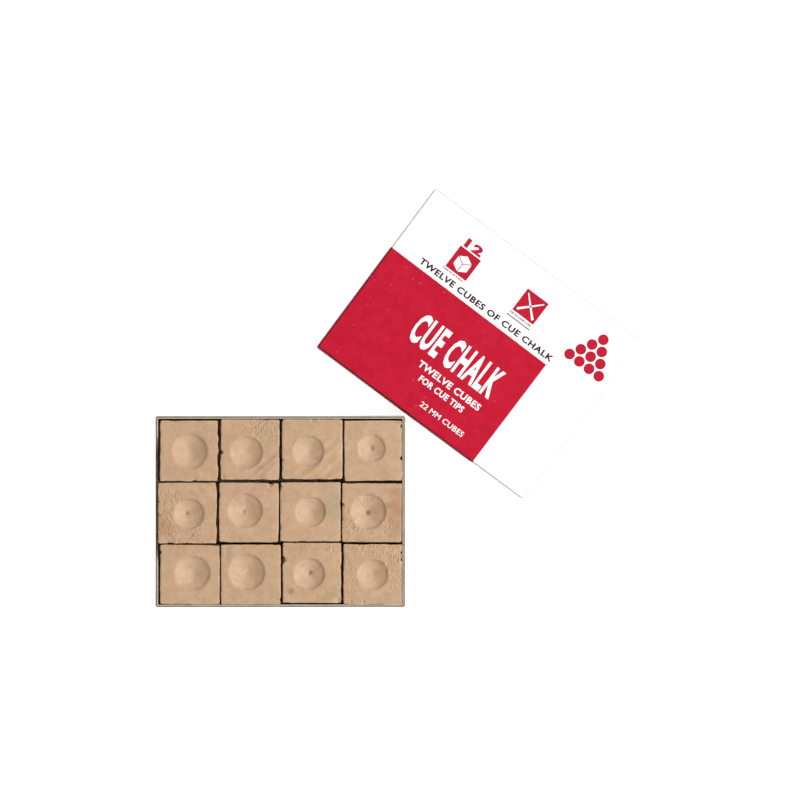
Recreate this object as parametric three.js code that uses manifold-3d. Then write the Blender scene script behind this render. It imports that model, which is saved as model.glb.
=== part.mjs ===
// A boxed dozen of cue chalk cubes: an open board tray of twelve chalk blocks, each glued into its
// paper label, and the tray's covered lid lying rim down beside it.
// Millimetres, +Z up. The origin is the middle of the tray's underside.
import * as THREE from "three";
import { mergeVertices } from "three/addons/utils/BufferGeometryUtils.js";
import Module from "manifold-3d";

const wasm = await Module();
wasm.setup();

// Layers are glued face to face. The glue line is the space between them.
const GLUE = 0.05;

// A chalk cube over its label, and the label that holds it.
const CUBE = 22.0;
const LABEL_PAPER = 0.15;
const LABEL_BELOW_FACE = 0.3;

// The dimple is a blunt cone that opens a little towards a steep rim, pressed wider in some cubes.
// cone is its slope, tip rounds its middle, and flare is how fast the slope grows outwards.
const DIMPLE = { cone: 0.33, tip: 1.0, flare: 0.012, rimDepth: 0.3, rimWidth: 0.55 };
const DIMPLE_SIDES = 28;
const DIMPLE_RINGS = 6;

// The tray: board with cover paper outside and a lining inside, all trimmed flush at the rim.
const TRAY = { length: 92.1, width: 70.6, height: 22.9, paper: 0.25, board: 0.4, liner: 0.2 };
const TRAY_WALL = TRAY.paper + GLUE + TRAY.board + GLUE + TRAY.liner;

// The lid telescopes over the tray. Its cover paper is turned in over the rim.
const LID = { length: 94.5, width: 73.0, height: 24.5, paper: 0.15, board: 0.6 };
const LID_TURN_IN = 8;

// The lid lies beside the tray, clear of the tray's corner.
const LID_PLACE = new THREE.Vector3(73.3, 61.8, 0);
const LID_TURN = THREE.MathUtils.degToRad(-36.6);

// Corner stays: strips of gummed paper folded round each board corner, pressed in flush.
const STAY = { leg: 12, paper: 0.12, end: 1.2 };
const RECESS_REACH = 1;

// The cubes stand loose in the tray: four columns by three rows, from the far left one.
// Each seat has the cube's centre, its turn in degrees, and its dimple's width and centre.
const SEAT_CLEARANCE = 0.02;
const SEATS = [
  { x: -33.5, y: 22.45, turn: -0.1, dimple: { width: 12.9, x: 0.3, y: -0.3 } },
  { x: -11.15, y: 22.9, turn: -0.3, dimple: { width: 12.0, x: -1.2, y: -1.0 } },
  { x: 11.75, y: 22.95, turn: 0.0, dimple: { width: 11.6, x: -1.3, y: -0.8 } },
  { x: 34.0, y: 22.5, turn: 0.4, dimple: { width: 10.4, x: -0.4, y: 0.8 } },
  { x: -34.0, y: -0.4, turn: 0.0, dimple: { width: 11.3, x: 0.4, y: -0.4 } },
  { x: -11.5, y: -0.35, turn: -0.4, dimple: { width: 12.9, x: -1.5, y: 0.7 } },
  { x: 11.1, y: -0.05, turn: 0.1, dimple: { width: 11.4, x: 0.0, y: 0.0 } },
  { x: 33.8, y: -0.35, turn: -0.4, dimple: { width: 13.3, x: -1.4, y: 0.4 } },
  { x: -33.3, y: -23.05, turn: -0.3, dimple: { width: 12.9, x: 1.0, y: 0.4 } },
  { x: -10.9, y: -23.1, turn: 0.0, dimple: { width: 13.5, x: -1.4, y: 0.8 } },
  { x: 11.6, y: -22.6, turn: -0.2, dimple: { width: 11.6, x: -1.0, y: -0.3 } },
  { x: 34.0, y: -23.15, turn: -0.4, dimple: { width: 11.4, x: 0.0, y: 0.0 } },
];

const COLOURS = {
  chalk: 0xc9a787,
  label: 0x5c3627,
  trayBoard: 0x8c8173,
  trayPaper: 0xc0bab0,
  trayLiner: 0xc8b8a3,
  lidBoard: 0xa79d8c,
  lidPaper: 0xfbfbf9,
  stay: 0xb08d5f,
};

// Paper and board: dull, with no metal.
function dullMaterial(colour, roughness) {
  return new THREE.MeshStandardMaterial({ color: colour, roughness, metalness: 0 });
}

// A three.js geometry as a manifold-3d solid.
function solidOf(geometry) {
  const bare = geometry.clone();
  bare.deleteAttribute("normal");
  bare.deleteAttribute("uv");
  const merged = mergeVertices(bare);
  return new wasm.Manifold(
    new wasm.Mesh({
      numProp: 3,
      vertProperties: merged.attributes.position.array,
      triVerts: new Uint32Array(merged.index.array),
    }),
  );
}

// A manifold-3d solid as a three.js geometry.
function geometryOf(solid) {
  const { vertProperties, triVerts } = solid.getMesh();
  const geometry = new THREE.BufferGeometry();
  geometry.setAttribute("position", new THREE.BufferAttribute(vertProperties, 3));
  geometry.setIndex(new THREE.BufferAttribute(triVerts, 1));
  geometry.computeVertexNormals();
  return geometry;
}

// A box centred on the Z axis, between two heights.
function slab(length, width, low, high) {
  const box = new THREE.BoxGeometry(length, width, high - low);
  box.translate(0, 0, (low + high) / 2);
  return solidOf(box);
}

// One layer of an open-topped box: it lies a given depth inside the box's outer faces, under and around.
function openShell(length, width, height, depth, thickness) {
  const inner = depth + thickness;
  const outside = slab(length - 2 * depth, width - 2 * depth, depth, height);
  return outside.subtract(slab(length - 2 * inner, width - 2 * inner, inner, height + 1));
}

// A named part with a material of its own.
function part(name, geometry, colour, roughness) {
  const mesh = new THREE.Mesh(geometry, dullMaterial(colour, roughness));
  mesh.name = name;
  return mesh;
}

// The place and turn of each corner of a box, with a corner strip's legs lying along its sides.
function corners(length, width) {
  const signs = [
    [-1, -1],
    [1, -1],
    [1, 1],
    [-1, 1],
  ];
  return signs.map(([alongX, alongY], quarter) => ({
    x: (alongX * length) / 2,
    y: (alongY * width) / 2,
    turn: (quarter * Math.PI) / 2,
  }));
}

// An upright strip with an L section. It starts on the corner it covers, and reaches past it outside.
function cornerStrip(leg, thickness, low, high, reach = 0) {
  const outline = new THREE.Shape();
  outline.moveTo(-reach, -reach);
  outline.lineTo(leg, -reach);
  outline.lineTo(leg, thickness);
  outline.lineTo(thickness, thickness);
  outline.lineTo(thickness, leg);
  outline.lineTo(-reach, leg);
  outline.closePath();
  const strip = new THREE.ExtrudeGeometry(outline, { depth: high - low, bevelEnabled: false });
  strip.translate(0, 0, low);
  return strip;
}

// Cuts the shallow recesses that take the stays out of a board shell's outer corners.
function recessCorners(shell, length, width, low, high) {
  const cutter = cornerStrip(STAY.leg + GLUE, STAY.paper + GLUE, low - GLUE, high + GLUE, RECESS_REACH);
  return corners(length, width).reduce((left, { x, y, turn }) => {
    const placed = cutter.clone().rotateZ(turn).translate(x, y, 0);
    return left.subtract(solidOf(placed));
  }, shell);
}

// The four corner stays of a board shell, each flush with the board's outer faces.
function addStays(group, name, length, width, low, high) {
  corners(length, width).forEach(({ x, y, turn }, index) => {
    const strip = cornerStrip(STAY.leg, STAY.paper, low, high);
    const stay = part(`${name}_${index + 1}`, strip, COLOURS.stay, 0.8);
    stay.position.set(x, y, 0);
    stay.rotation.z = turn;
    group.add(stay);
  });
}

// The tray: a folded board shell, open at the top, with paper glued to its outside and its inside.
function makeTray() {
  const tray = new THREE.Group();
  const { length, width, height, paper, board, liner } = TRAY;
  const outset = paper + GLUE;
  const boardLength = length - 2 * outset;
  const boardWidth = width - 2 * outset;
  const stayLow = outset + STAY.end;
  const stayHigh = height - STAY.end;

  const shell = openShell(length, width, height, outset, board);
  const boardSolid = recessCorners(shell, boardLength, boardWidth, stayLow, stayHigh);
  tray.add(part("tray_board", geometryOf(boardSolid), COLOURS.trayBoard, 0.9));

  const wrap = openShell(length, width, height, 0, paper);
  tray.add(part("tray_wrap", geometryOf(wrap), COLOURS.trayPaper, 0.8));

  const lining = openShell(length, width, height, TRAY_WALL - liner, liner);
  tray.add(part("tray_liner", geometryOf(lining), COLOURS.trayLiner, 0.85));

  addStays(tray, "tray_corner_stay", boardLength, boardWidth, stayLow, stayHigh);
  return tray;
}

// The lid, rim down: a folded board shell, with cover paper over its outside and turned in at the rim.
function makeLid() {
  const lid = new THREE.Group();
  const { length, width, height, board, paper } = LID;
  const inset = paper + GLUE;
  const wall = inset + board;
  const boardLength = length - 2 * inset;
  const boardWidth = width - 2 * inset;
  const stayLow = inset + STAY.end;
  const stayHigh = height - inset - STAY.end;

  const shell = slab(boardLength, boardWidth, inset, height - inset);
  const inside = slab(length - 2 * wall, width - 2 * wall, -1, height - wall);
  const boardSolid = recessCorners(shell.subtract(inside), boardLength, boardWidth, stayLow, stayHigh);
  lid.add(part("lid_board", geometryOf(boardSolid), COLOURS.lidBoard, 0.9));

  const flangeOut = wall + GLUE;
  const flangeIn = flangeOut + paper;
  const mouth = slab(length - 2 * flangeIn, width - 2 * flangeIn, -1, LID_TURN_IN + 1);
  const skin = slab(length, width, 0, height)
    .subtract(slab(length - 2 * paper, width - 2 * paper, paper, height - paper))
    .subtract(mouth);
  const flange = slab(length - 2 * flangeOut, width - 2 * flangeOut, 0, LID_TURN_IN).subtract(mouth);
  lid.add(part("lid_wrap", geometryOf(skin.add(flange)), COLOURS.lidPaper, 0.45));

  addStays(lid, "lid_corner_stay", boardLength, boardWidth, stayLow, stayHigh);
  lid.position.copy(LID_PLACE);
  lid.rotation.z = LID_TURN;
  return lid;
}

// How far the dimple's bowl has risen at a given distance from its middle.
function bowlRise(reach) {
  return DIMPLE.cone * (Math.hypot(reach, DIMPLE.tip) - DIMPLE.tip) + DIMPLE.flare * reach ** 2;
}

// The solid that presses a dimple: a turned punch, closed by a cone above the chalk's face.
function dimpleTool(width, face) {
  const radius = width / 2;
  const bottom = face - bowlRise(radius) - DIMPLE.rimDepth;
  const profile = [];
  for (let ring = 0; ring <= DIMPLE_RINGS; ring += 1) {
    const reach = ((radius - DIMPLE.rimWidth) * ring) / DIMPLE_RINGS;
    profile.push(new THREE.Vector2(reach, bottom + bowlRise(reach)));
  }
  profile.push(new THREE.Vector2(radius, face));
  profile.push(new THREE.Vector2(radius * 1.2, face + 1));
  profile.push(new THREE.Vector2(0, face + 1));
  return new THREE.LatheGeometry(profile, DIMPLE_SIDES).rotateX(Math.PI / 2);
}

// A chalk block, with its dimple pressed into its top face.
function chalkBlock(dimple) {
  const side = CUBE - 2 * (LABEL_PAPER + GLUE);
  const tool = dimpleTool(dimple.width, CUBE).translate(dimple.x, dimple.y, 0);
  return geometryOf(slab(side, side, LABEL_PAPER + GLUE, CUBE).subtract(solidOf(tool)));
}

// A paper label: glued round the block's four sides and folded under it, open at the top.
function chalkLabel() {
  const inner = CUBE - 2 * LABEL_PAPER;
  const outside = slab(CUBE, CUBE, 0, CUBE - LABEL_BELOW_FACE);
  return geometryOf(outside.subtract(slab(inner, inner, LABEL_PAPER, CUBE)));
}

// One loose cube: a block in its label.
function makeCube({ x, y, turn, dimple }, index) {
  const cube = new THREE.Group();
  const number = String(index + 1).padStart(2, "0");
  cube.add(part(`chalk_block_${number}`, chalkBlock(dimple), COLOURS.chalk, 0.95));
  cube.add(part(`chalk_label_${number}`, chalkLabel(), COLOURS.label, 0.7));
  cube.position.set(x, y, TRAY_WALL + SEAT_CLEARANCE);
  cube.rotation.z = THREE.MathUtils.degToRad(turn);
  return cube;
}

const box = new THREE.Group();
box.add(makeTray());
box.add(makeLid());
box.add(...SEATS.map(makeCube));

export default box;
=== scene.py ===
"""A boxed dozen of cue chalk cubes: the looks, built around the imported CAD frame. Metres, +Z up."""

import math

import bmesh
import bpy
import numpy as np
from mathutils import Matrix, Vector


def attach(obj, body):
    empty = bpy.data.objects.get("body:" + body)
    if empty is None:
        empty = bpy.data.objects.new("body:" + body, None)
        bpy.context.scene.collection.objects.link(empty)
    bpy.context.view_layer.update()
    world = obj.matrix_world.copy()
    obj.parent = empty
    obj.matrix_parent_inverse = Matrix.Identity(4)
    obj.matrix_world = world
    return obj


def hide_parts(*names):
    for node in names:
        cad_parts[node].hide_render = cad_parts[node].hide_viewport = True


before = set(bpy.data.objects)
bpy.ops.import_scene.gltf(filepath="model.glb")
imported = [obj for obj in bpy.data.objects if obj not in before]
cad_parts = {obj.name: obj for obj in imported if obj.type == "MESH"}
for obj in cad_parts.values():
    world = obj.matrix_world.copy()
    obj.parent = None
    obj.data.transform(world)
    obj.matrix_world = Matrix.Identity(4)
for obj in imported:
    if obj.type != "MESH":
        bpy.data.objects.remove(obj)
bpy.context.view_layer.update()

MM = 0.001
CUBES = [f"{number:02d}" for number in range(1, 13)]

# Camera: straight down from a little to the left, through a long lens.
VIEW_WIDTH = 294.6 * MM
CAMERA_HEIGHT = 2.8
CAMERA_AIM = Vector((44.05, 41.1, 23.5)) * MM
CAMERA_LEFT = 92 * MM
SENSOR_WIDTH = 36.0

# Light: a cool soft key low on the right, and a warmer sky that is brightest overhead. Each gives its share
# of what a white card needs to come out white. Together they overexpose the floor, which glows a little too.
KEY_SHARE = 0.64
SKY_SHARE = 0.78
SKY_POWER = 1.2
KEY_TINT = (0.93, 0.985, 1.035)
SKY_TINT = (1.055, 1.0, 0.94)
KEY_ELEVATION = math.radians(32)
KEY_DISTANCE = 1.3
KEY_SIZE = 0.5
FLOOR_GLOW = 0.75
EXPOSURE = KEY_SHARE + SKY_SHARE

# The chalk's face, in millimetres. The dimple is a blunt cone that opens a little towards its steep rim.
# The face's edge hangs over the block's sides as a thin lip, and its relief fades out down them.
# The waves are (length, height), from a slow swell to a fine grain.
FACE_STEP = 0.18
BLOCK_CORNER = 0.7
OVERHANG = 0.16
LIP_TOP = 0.04
LIP_BOTTOM = 0.12
RELIEF_REACH = 2.5
DIMPLE_CONE = 0.33
DIMPLE_TIP = 1.0
DIMPLE_FLARE = 0.012
DIMPLE_RIM_DEPTH = 0.3
DIMPLE_RIM_WIDTH = 0.7
CRINKLE_PITCH = 0.8
STREAK_TINT = 0.85
FACE_WAVES = ((6.0, 0.03), (1.9, 0.012), (0.5, 0.006), (0.24, 0.004))
PLEATED_TOWARDS = math.radians(140)

# Paper and board thicknesses. The tray's layers are (inset, thickness), glued face to face. A cut rim is
# uneven as far down as its reach, and the rim of the tray's left wall has been crushed.
LABEL_PAPER = 0.15 * MM
TRAY_LAYERS = {
    "tray_wrap": (0, 0.28 * MM),
    "tray_board": (0.28 * MM, 0.44 * MM),
    "tray_liner": (0.72 * MM, 0.3 * MM),
}
RIM_REACH = 8 * MM
CRUSH_DEPTH = 4.5 * MM
CRUSH_MIDDLE = 5 * MM
CRUSH_REACH = 25 * MM
CRUSH_WIDTH = 3 * MM
GLUE = 0.05 * MM
LID_PAPER = 0.15 * MM
LID_BOARD = 0.6 * MM
LID_TURN_IN = 8 * MM
LID_EDGE = 0.45 * MM
FOLD_REACH = 0.65 * MM
INK = 0.02 * MM
ROOT_THREE_HALVES = 0.866

# The label's print on each side of a cube, in millimetres: how far its middle is above the cube's underside,
# how far its frame, diamond and core reach from there, and half a line's thickness.
LABEL_MIDDLE = 10.8
LABEL_FRAME = 9.0
LABEL_DIAMOND = 6.6
LABEL_CORE = 2.75
LABEL_LINE = 0.35

# The lid's print, in the lid's own plane: x along its long side, y along its short side, from its middle.
# The print sits a little askew on the lid.
RED_RIGHT = 24.25
RED_TOP = 8.75
PRINT_TURN = math.radians(-0.6)


def seen_as(red, green, blue):
    """The surface colour that comes out as these display values, 0 to 255, on a level surface."""
    shares = [value / 255 for value in (red, green, blue)]
    linear = [c / 12.92 if c < 0.04045 else ((c + 0.055) / 1.055) ** 2.4 for c in shares]
    return tuple(min(0.95, c / EXPOSURE) for c in linear)


CHALK = seen_as(208, 172, 136)
# Painted light: the chalk's colour inside the dimple, lighter than the face.
DIMPLE_PAINTED_LIGHT = seen_as(215, 180, 147)
SHADOW = seen_as(185, 150, 117)
PINK = seen_as(208, 167, 142)
GREY = seen_as(188, 167, 136)
RUST = seen_as(186, 138, 96)
STAIN = seen_as(146, 130, 98)
RED_INK = seen_as(201, 30, 56)
DARK_INK = seen_as(70, 26, 40)
WHITE_PAPER = (0.82, 0.82, 0.816)


# ---------------------------------------------------------------- numbers and shapes


def smooth_step(value):
    """From 0 to 1, with level ends."""
    value = np.clip(value, 0, 1)
    return value * value * (3 - 2 * value)


LATTICE = 64


def smooth_noise(x, y, cell, seed, stretch=1.0):
    """Smooth noise from -1 to 1. Its features are one cell across y, and stretch cells along x."""
    lattice = np.random.default_rng(seed).uniform(-1, 1, (LATTICE, LATTICE))
    u = x / (cell * stretch)
    v = y / cell
    i = np.floor(u).astype(int)
    j = np.floor(v).astype(int)
    along = smooth_step(u - i)
    across = smooth_step(v - j)
    left, right = i % LATTICE, (i + 1) % LATTICE
    near, far = j % LATTICE, (j + 1) % LATTICE
    low = lattice[left, near] * (1 - along) + lattice[right, near] * along
    high = lattice[left, far] * (1 - along) + lattice[right, far] * along
    return low * (1 - across) + high * across


def turned(x, y, degrees):
    """Coordinates along and across a direction."""
    angle = math.radians(degrees)
    return x * math.cos(angle) + y * math.sin(angle), y * math.cos(angle) - x * math.sin(angle)


def blob(x, y, place, radius, seed=0, rough=0.0):
    """A soft-edged patch: 1 in the middle, 0 outside its radius. Its edge wanders when rough."""
    reach = np.hypot(x - place[0], y - place[1]) / radius
    if rough:
        reach = reach + rough * smooth_noise(x, y, radius * 0.45, seed)
    return smooth_step(1.6 * (1 - reach))


def rounded(points, half, radius):
    """Points of a rectangle, with those near its corners drawn in so that each corner is an arc."""
    half = np.asarray(half)
    straight = half - radius
    share = np.clip((np.abs(points) - straight) / radius, 0, 1)
    a, b = share[..., 0], share[..., 1]
    arc = np.stack([a * np.sqrt(1 - b * b / 2), b * np.sqrt(1 - a * a / 2)], -1) * radius
    return np.sign(points) * (np.minimum(np.abs(points), straight) + arc)


def stations(half, corner, step, arc_steps=5):
    """Positions across a side: even along it, and closer together in its two corners."""
    arc = np.linspace(0, corner, arc_steps + 1)
    count = max(1, round(2 * (half - corner) / step))
    middle = np.linspace(corner - half, half - corner, count + 1)
    return np.concatenate([arc[:-1] - half, middle, half - arc[-2::-1]])


def edge_of(grid):
    """The outer loop of a grid, anticlockwise from its first corner."""
    return np.concatenate([grid[:-1, 0], grid[-1, :-1], grid[:0:-1, -1], grid[0, :0:-1]])


def grid_quads(index):
    corners = index[:-1, :-1], index[1:, :-1], index[1:, 1:], index[:-1, 1:]
    return np.stack([c.reshape(-1) for c in corners], -1)


def ring_quads(upper, lower):
    return np.stack([upper, lower, np.roll(lower, -1), np.roll(upper, -1)], -1)


def linked(name, data):
    """A new object in the scene, holding this data."""
    made = bpy.data.objects.new(name, data)
    bpy.context.scene.collection.objects.link(made)
    return made


# What Blender calls the values of each type of attribute.
VALUE_FIELDS = {"FLOAT": "value", "FLOAT_VECTOR": "vector", "FLOAT_COLOR": "color"}


def new_object(name, points, faces, attributes=(), sharp_degrees=35):
    """A smooth-shaded mesh object. attributes are (name, type, values per point)."""
    mesh = bpy.data.meshes.new(name)
    mesh.from_pydata(points.tolist(), [], faces.tolist())
    for label, kind, values in attributes:
        made = mesh.attributes.new(label, kind, "POINT")
        field = VALUE_FIELDS[kind]
        made.data.foreach_set(field, np.ascontiguousarray(values, np.float32).reshape(-1))
    mark_edges(mesh, sharp_degrees)
    return linked(name, mesh)


def mark_edges(mesh, sharp_degrees):
    """Smooth faces, with a sharp edge wherever two faces meet at more than the angle."""
    limit = math.radians(sharp_degrees)
    work = bmesh.new()
    work.from_mesh(mesh)
    for face in work.faces:
        face.smooth = True
    for edge in work.edges:
        edge.smooth = len(edge.link_faces) == 2 and edge.calc_face_angle(0) < limit
    work.to_mesh(mesh)
    work.free()


def closed_skin(levels, flip=False):
    """Points and faces of a closed body: a grid, the edge loops of the middle levels, and the last grid."""
    shape = levels[0].shape[:2]
    size = shape[0] * shape[1]
    first = np.arange(size).reshape(shape)
    loops = [edge_of(first)]
    points = [levels[0].reshape(-1, 3)]
    count = size
    for level in levels[1:-1]:
        ring = edge_of(level)
        loops.append(np.arange(count, count + len(ring)))
        points.append(ring)
        count += len(ring)
    last = np.arange(count, count + size).reshape(shape)
    loops.append(edge_of(last))
    points.append(levels[-1].reshape(-1, 3))
    sides = [ring_quads(a, b) for a, b in zip(loops, loops[1:])]
    faces = np.concatenate([grid_quads(first), *sides, grid_quads(last)[:, ::-1]])
    return np.concatenate(points), faces[:, ::-1] if flip else faces


def arc_profile(radius, height, steps=5):
    """A quarter-round edge as (inset, height) points, from the flat face to the upright one."""
    angles = np.linspace(0, math.pi / 2, steps + 1)
    return [(radius * (1 - math.sin(a)), height - radius * (1 - math.cos(a))) for a in angles]


# ---------------------------------------------------------------- the frame's own measures


def node_points(node):
    return np.unique(np.round([v.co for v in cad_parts[node].data.vertices], 7), axis=0)


class Plan:
    """Where a box-shaped node stands: its centre, half sizes, turn, bottom and top."""

    def __init__(self, node, on_top=False):
        points = node_points(node)
        self.low, self.high = points[:, 2].min(), points[:, 2].max()
        level = self.high if on_top else self.low
        face = points[np.abs(points[:, 2] - level) < 1e-6][:, :2]
        self.centre = (face.min(0) + face.max(0)) / 2
        bearing = np.arctan2(*(face - self.centre).T[::-1])
        corners = face[np.argsort(bearing)]
        sides = np.roll(corners, -1, axis=0) - corners
        along = max(sides, key=lambda side: side[0])
        across = max(sides, key=lambda side: side[1])
        self.half = np.array([np.hypot(*along), np.hypot(*across)]) / 2
        self.turn = math.atan2(along[1], along[0])

    def matrix(self):
        return Matrix.Translation((*self.centre, 0)) @ Matrix.Rotation(self.turn, 4, "Z")

    def place(self, points):
        """Points given in the box's own plane, moved to where the box stands."""
        cos, sin = math.cos(self.turn), math.sin(self.turn)
        x, y = points[..., 0], points[..., 1]
        moved = [self.centre[0] + x * cos - y * sin, self.centre[1] + x * sin + y * cos, points[..., 2]]
        return np.stack(moved, -1)

    def local(self, points):
        cos, sin = math.cos(self.turn), math.sin(self.turn)
        x, y = (points - self.centre).T
        return np.stack([x * cos + y * sin, y * cos - x * sin], -1)


def dimple_of(node, plan):
    """The centre, in the block's own plane, and the radius of the dimple in a block's top face."""
    points = node_points(node)
    face = plan.local(points[points[:, 2] > plan.high - 1e-6][:, :2])
    ring = face[np.abs(face).max(1) < plan.half.min() - 0.5 * MM]
    centre = (ring.min(0) + ring.max(0)) / 2
    return centre, np.hypot(*(ring - centre).T).max()


# ---------------------------------------------------------------- materials


# The mix node has several sockets of the same name; these are the places of those that mix colours.
MIX_COLOUR_A = 6
MIX_COLOUR_B = 7
MIX_COLOUR_OUT = 2


class Graph:
    """A new material's node tree, with short calls for the nodes that the materials here share."""

    def __init__(self, name, roughness, specular=0.3):
        self.material = bpy.data.materials.new(name)
        self.material.use_nodes = True
        self.tree = self.material.node_tree
        self.shader = self.tree.nodes["Principled BSDF"]
        self.shader.inputs["Roughness"].default_value = roughness
        self.shader.inputs["Specular IOR Level"].default_value = specular

    def node(self, kind, inputs=None, **settings):
        made = self.tree.nodes.new(kind)
        for key, value in settings.items():
            setattr(made, key, value)
        for key, value in (inputs or {}).items():
            self.feed(made.inputs[key], value)
        return made

    def feed(self, socket, value):
        if isinstance(value, bpy.types.NodeSocket):
            self.tree.links.new(value, socket)
        elif isinstance(value, tuple) and len(value) == 3 and socket.type == "RGBA":
            socket.default_value = (*value, 1)
        else:
            socket.default_value = value

    def place(self):
        """Position on the object, in metres."""
        return self.node("ShaderNodeTexCoord").outputs["Object"]

    def stretched(self, scale, turn=0.0):
        """Position, scaled along each axis and turned about Z, for streaks."""
        inputs = {"Vector": self.place(), "Scale": scale, "Rotation": (0, 0, turn)}
        return self.node("ShaderNodeMapping", inputs).outputs["Vector"]

    def attribute(self, name, output="Color"):
        return self.node("ShaderNodeAttribute", attribute_name=name).outputs[output]

    def noise(self, scale, detail=3.0, roughness=0.55, vector=None, distortion=0.0):
        inputs = {
            "Vector": vector or self.place(),
            "Scale": scale,
            "Detail": detail,
            "Roughness": roughness,
            "Distortion": distortion,
        }
        return self.node("ShaderNodeTexNoise", inputs).outputs["Fac"]

    def spread(self, value, low, high, to_low=0.0, to_high=1.0):
        """A value's range from low to high, smoothly taken to another range."""
        inputs = {"Value": value, "From Min": low, "From Max": high, "To Min": to_low, "To Max": to_high}
        return self.node("ShaderNodeMapRange", inputs, interpolation_type="SMOOTHSTEP").outputs["Result"]

    def maths(self, operation, a, b=0.0):
        made = self.node("ShaderNodeMath", operation=operation)
        self.feed(made.inputs[0], a)
        self.feed(made.inputs[1], b)
        return made.outputs["Value"]

    def plus(self, a, b):
        return self.maths("ADD", a, b)

    def times(self, a, b):
        return self.maths("MULTIPLY", a, b)

    def mix(self, factor, a, b, blend="MIX"):
        made = self.node("ShaderNodeMix", data_type="RGBA", blend_type=blend)
        self.feed(made.inputs["Factor"], factor)
        self.feed(made.inputs[MIX_COLOUR_A], a)
        self.feed(made.inputs[MIX_COLOUR_B], b)
        return made.outputs[MIX_COLOUR_OUT]

    def colour(self, value):
        self.feed(self.shader.inputs["Base Color"], value)

    def rough(self, value):
        self.feed(self.shader.inputs["Roughness"], value)

    def bump(self, height, distance, strength=1.0, under=None):
        inputs = {"Height": height, "Distance": distance, "Strength": strength}
        if under is not None:
            inputs["Normal"] = under
        made = self.node("ShaderNodeBump", inputs)
        self.feed(self.shader.inputs["Normal"], made.outputs["Normal"])
        return made.outputs["Normal"]


def chalk_material():
    """Pressed chalk: dead matt, finely granular, mottled over the colour that each face carries."""
    g = Graph("pressed_chalk", roughness=0.95, specular=0.12)
    base = g.attribute("face_colour")
    cloud = g.spread(g.noise(420, detail=5, roughness=0.65), 0.3, 0.7)
    mottled = g.mix(g.times(cloud, 0.38), base, (0.66, 0.6, 0.53), "MULTIPLY")
    grain = g.spread(g.noise(2600, detail=3, roughness=0.7), 0.35, 0.75)
    grained = g.mix(g.times(grain, 0.10), mottled, (0.95, 0.85, 0.75), "SCREEN")
    specks = g.spread(g.noise(1700, detail=2), 0.68, 0.74)
    g.colour(g.mix(g.times(specks, 0.3), grained, SHADOW))
    g.rough(g.spread(grain, 0, 1, 0.86, 1.0))
    coarse = g.bump(g.noise(1500, detail=3, roughness=0.65), 0.03 * MM, 0.5)
    g.bump(g.noise(7000, detail=2, roughness=0.6), 0.012 * MM, 0.5, under=coarse)
    return g.material


def paper_fibres(g, scale=900):
    """Fine short fibres lying every way, from 0 to 1."""
    one = g.noise(scale, detail=3, vector=g.stretched((1, 4, 4), 0.6))
    two = g.noise(scale, detail=3, vector=g.stretched((4, 1, 4), 0.2))
    return g.times(g.plus(one, two), 0.5)


def board_material(name, light, dark, fleck):
    """Raw chipboard: grey pulp with paler and darker fibres."""
    g = Graph(name, roughness=0.92, specular=0.15)
    fibres = paper_fibres(g, 700)
    cloud = g.noise(180, detail=3)
    base = g.mix(g.spread(g.plus(fibres, g.times(cloud, 0.5)), 0.55, 0.95), dark, light)
    flecks = g.spread(g.noise(1400, detail=1), 0.66, 0.72)
    g.colour(g.mix(g.times(flecks, 0.5), base, fleck))
    g.bump(fibres, 0.05 * MM, 0.6)
    return g.material


def cover_paper_material(name, light, dark):
    """Plain matt cover paper, a little rubbed, over board whose texture shows through."""
    g = Graph(name, roughness=0.8, specular=0.2)
    fibres = paper_fibres(g, 1100)
    cloud = g.noise(90, detail=4, roughness=0.6)
    blend = g.plus(g.times(fibres, 0.45), g.times(cloud, 0.55))
    g.colour(g.mix(g.spread(blend, 0.36, 0.64), dark, light))
    g.rough(g.spread(cloud, 0.3, 0.7, 0.72, 0.9))
    under = g.bump(g.noise(160, detail=2), 0.12 * MM, 0.35)
    g.bump(fibres, 0.03 * MM, 0.5, under=under)
    return g.material


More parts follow.
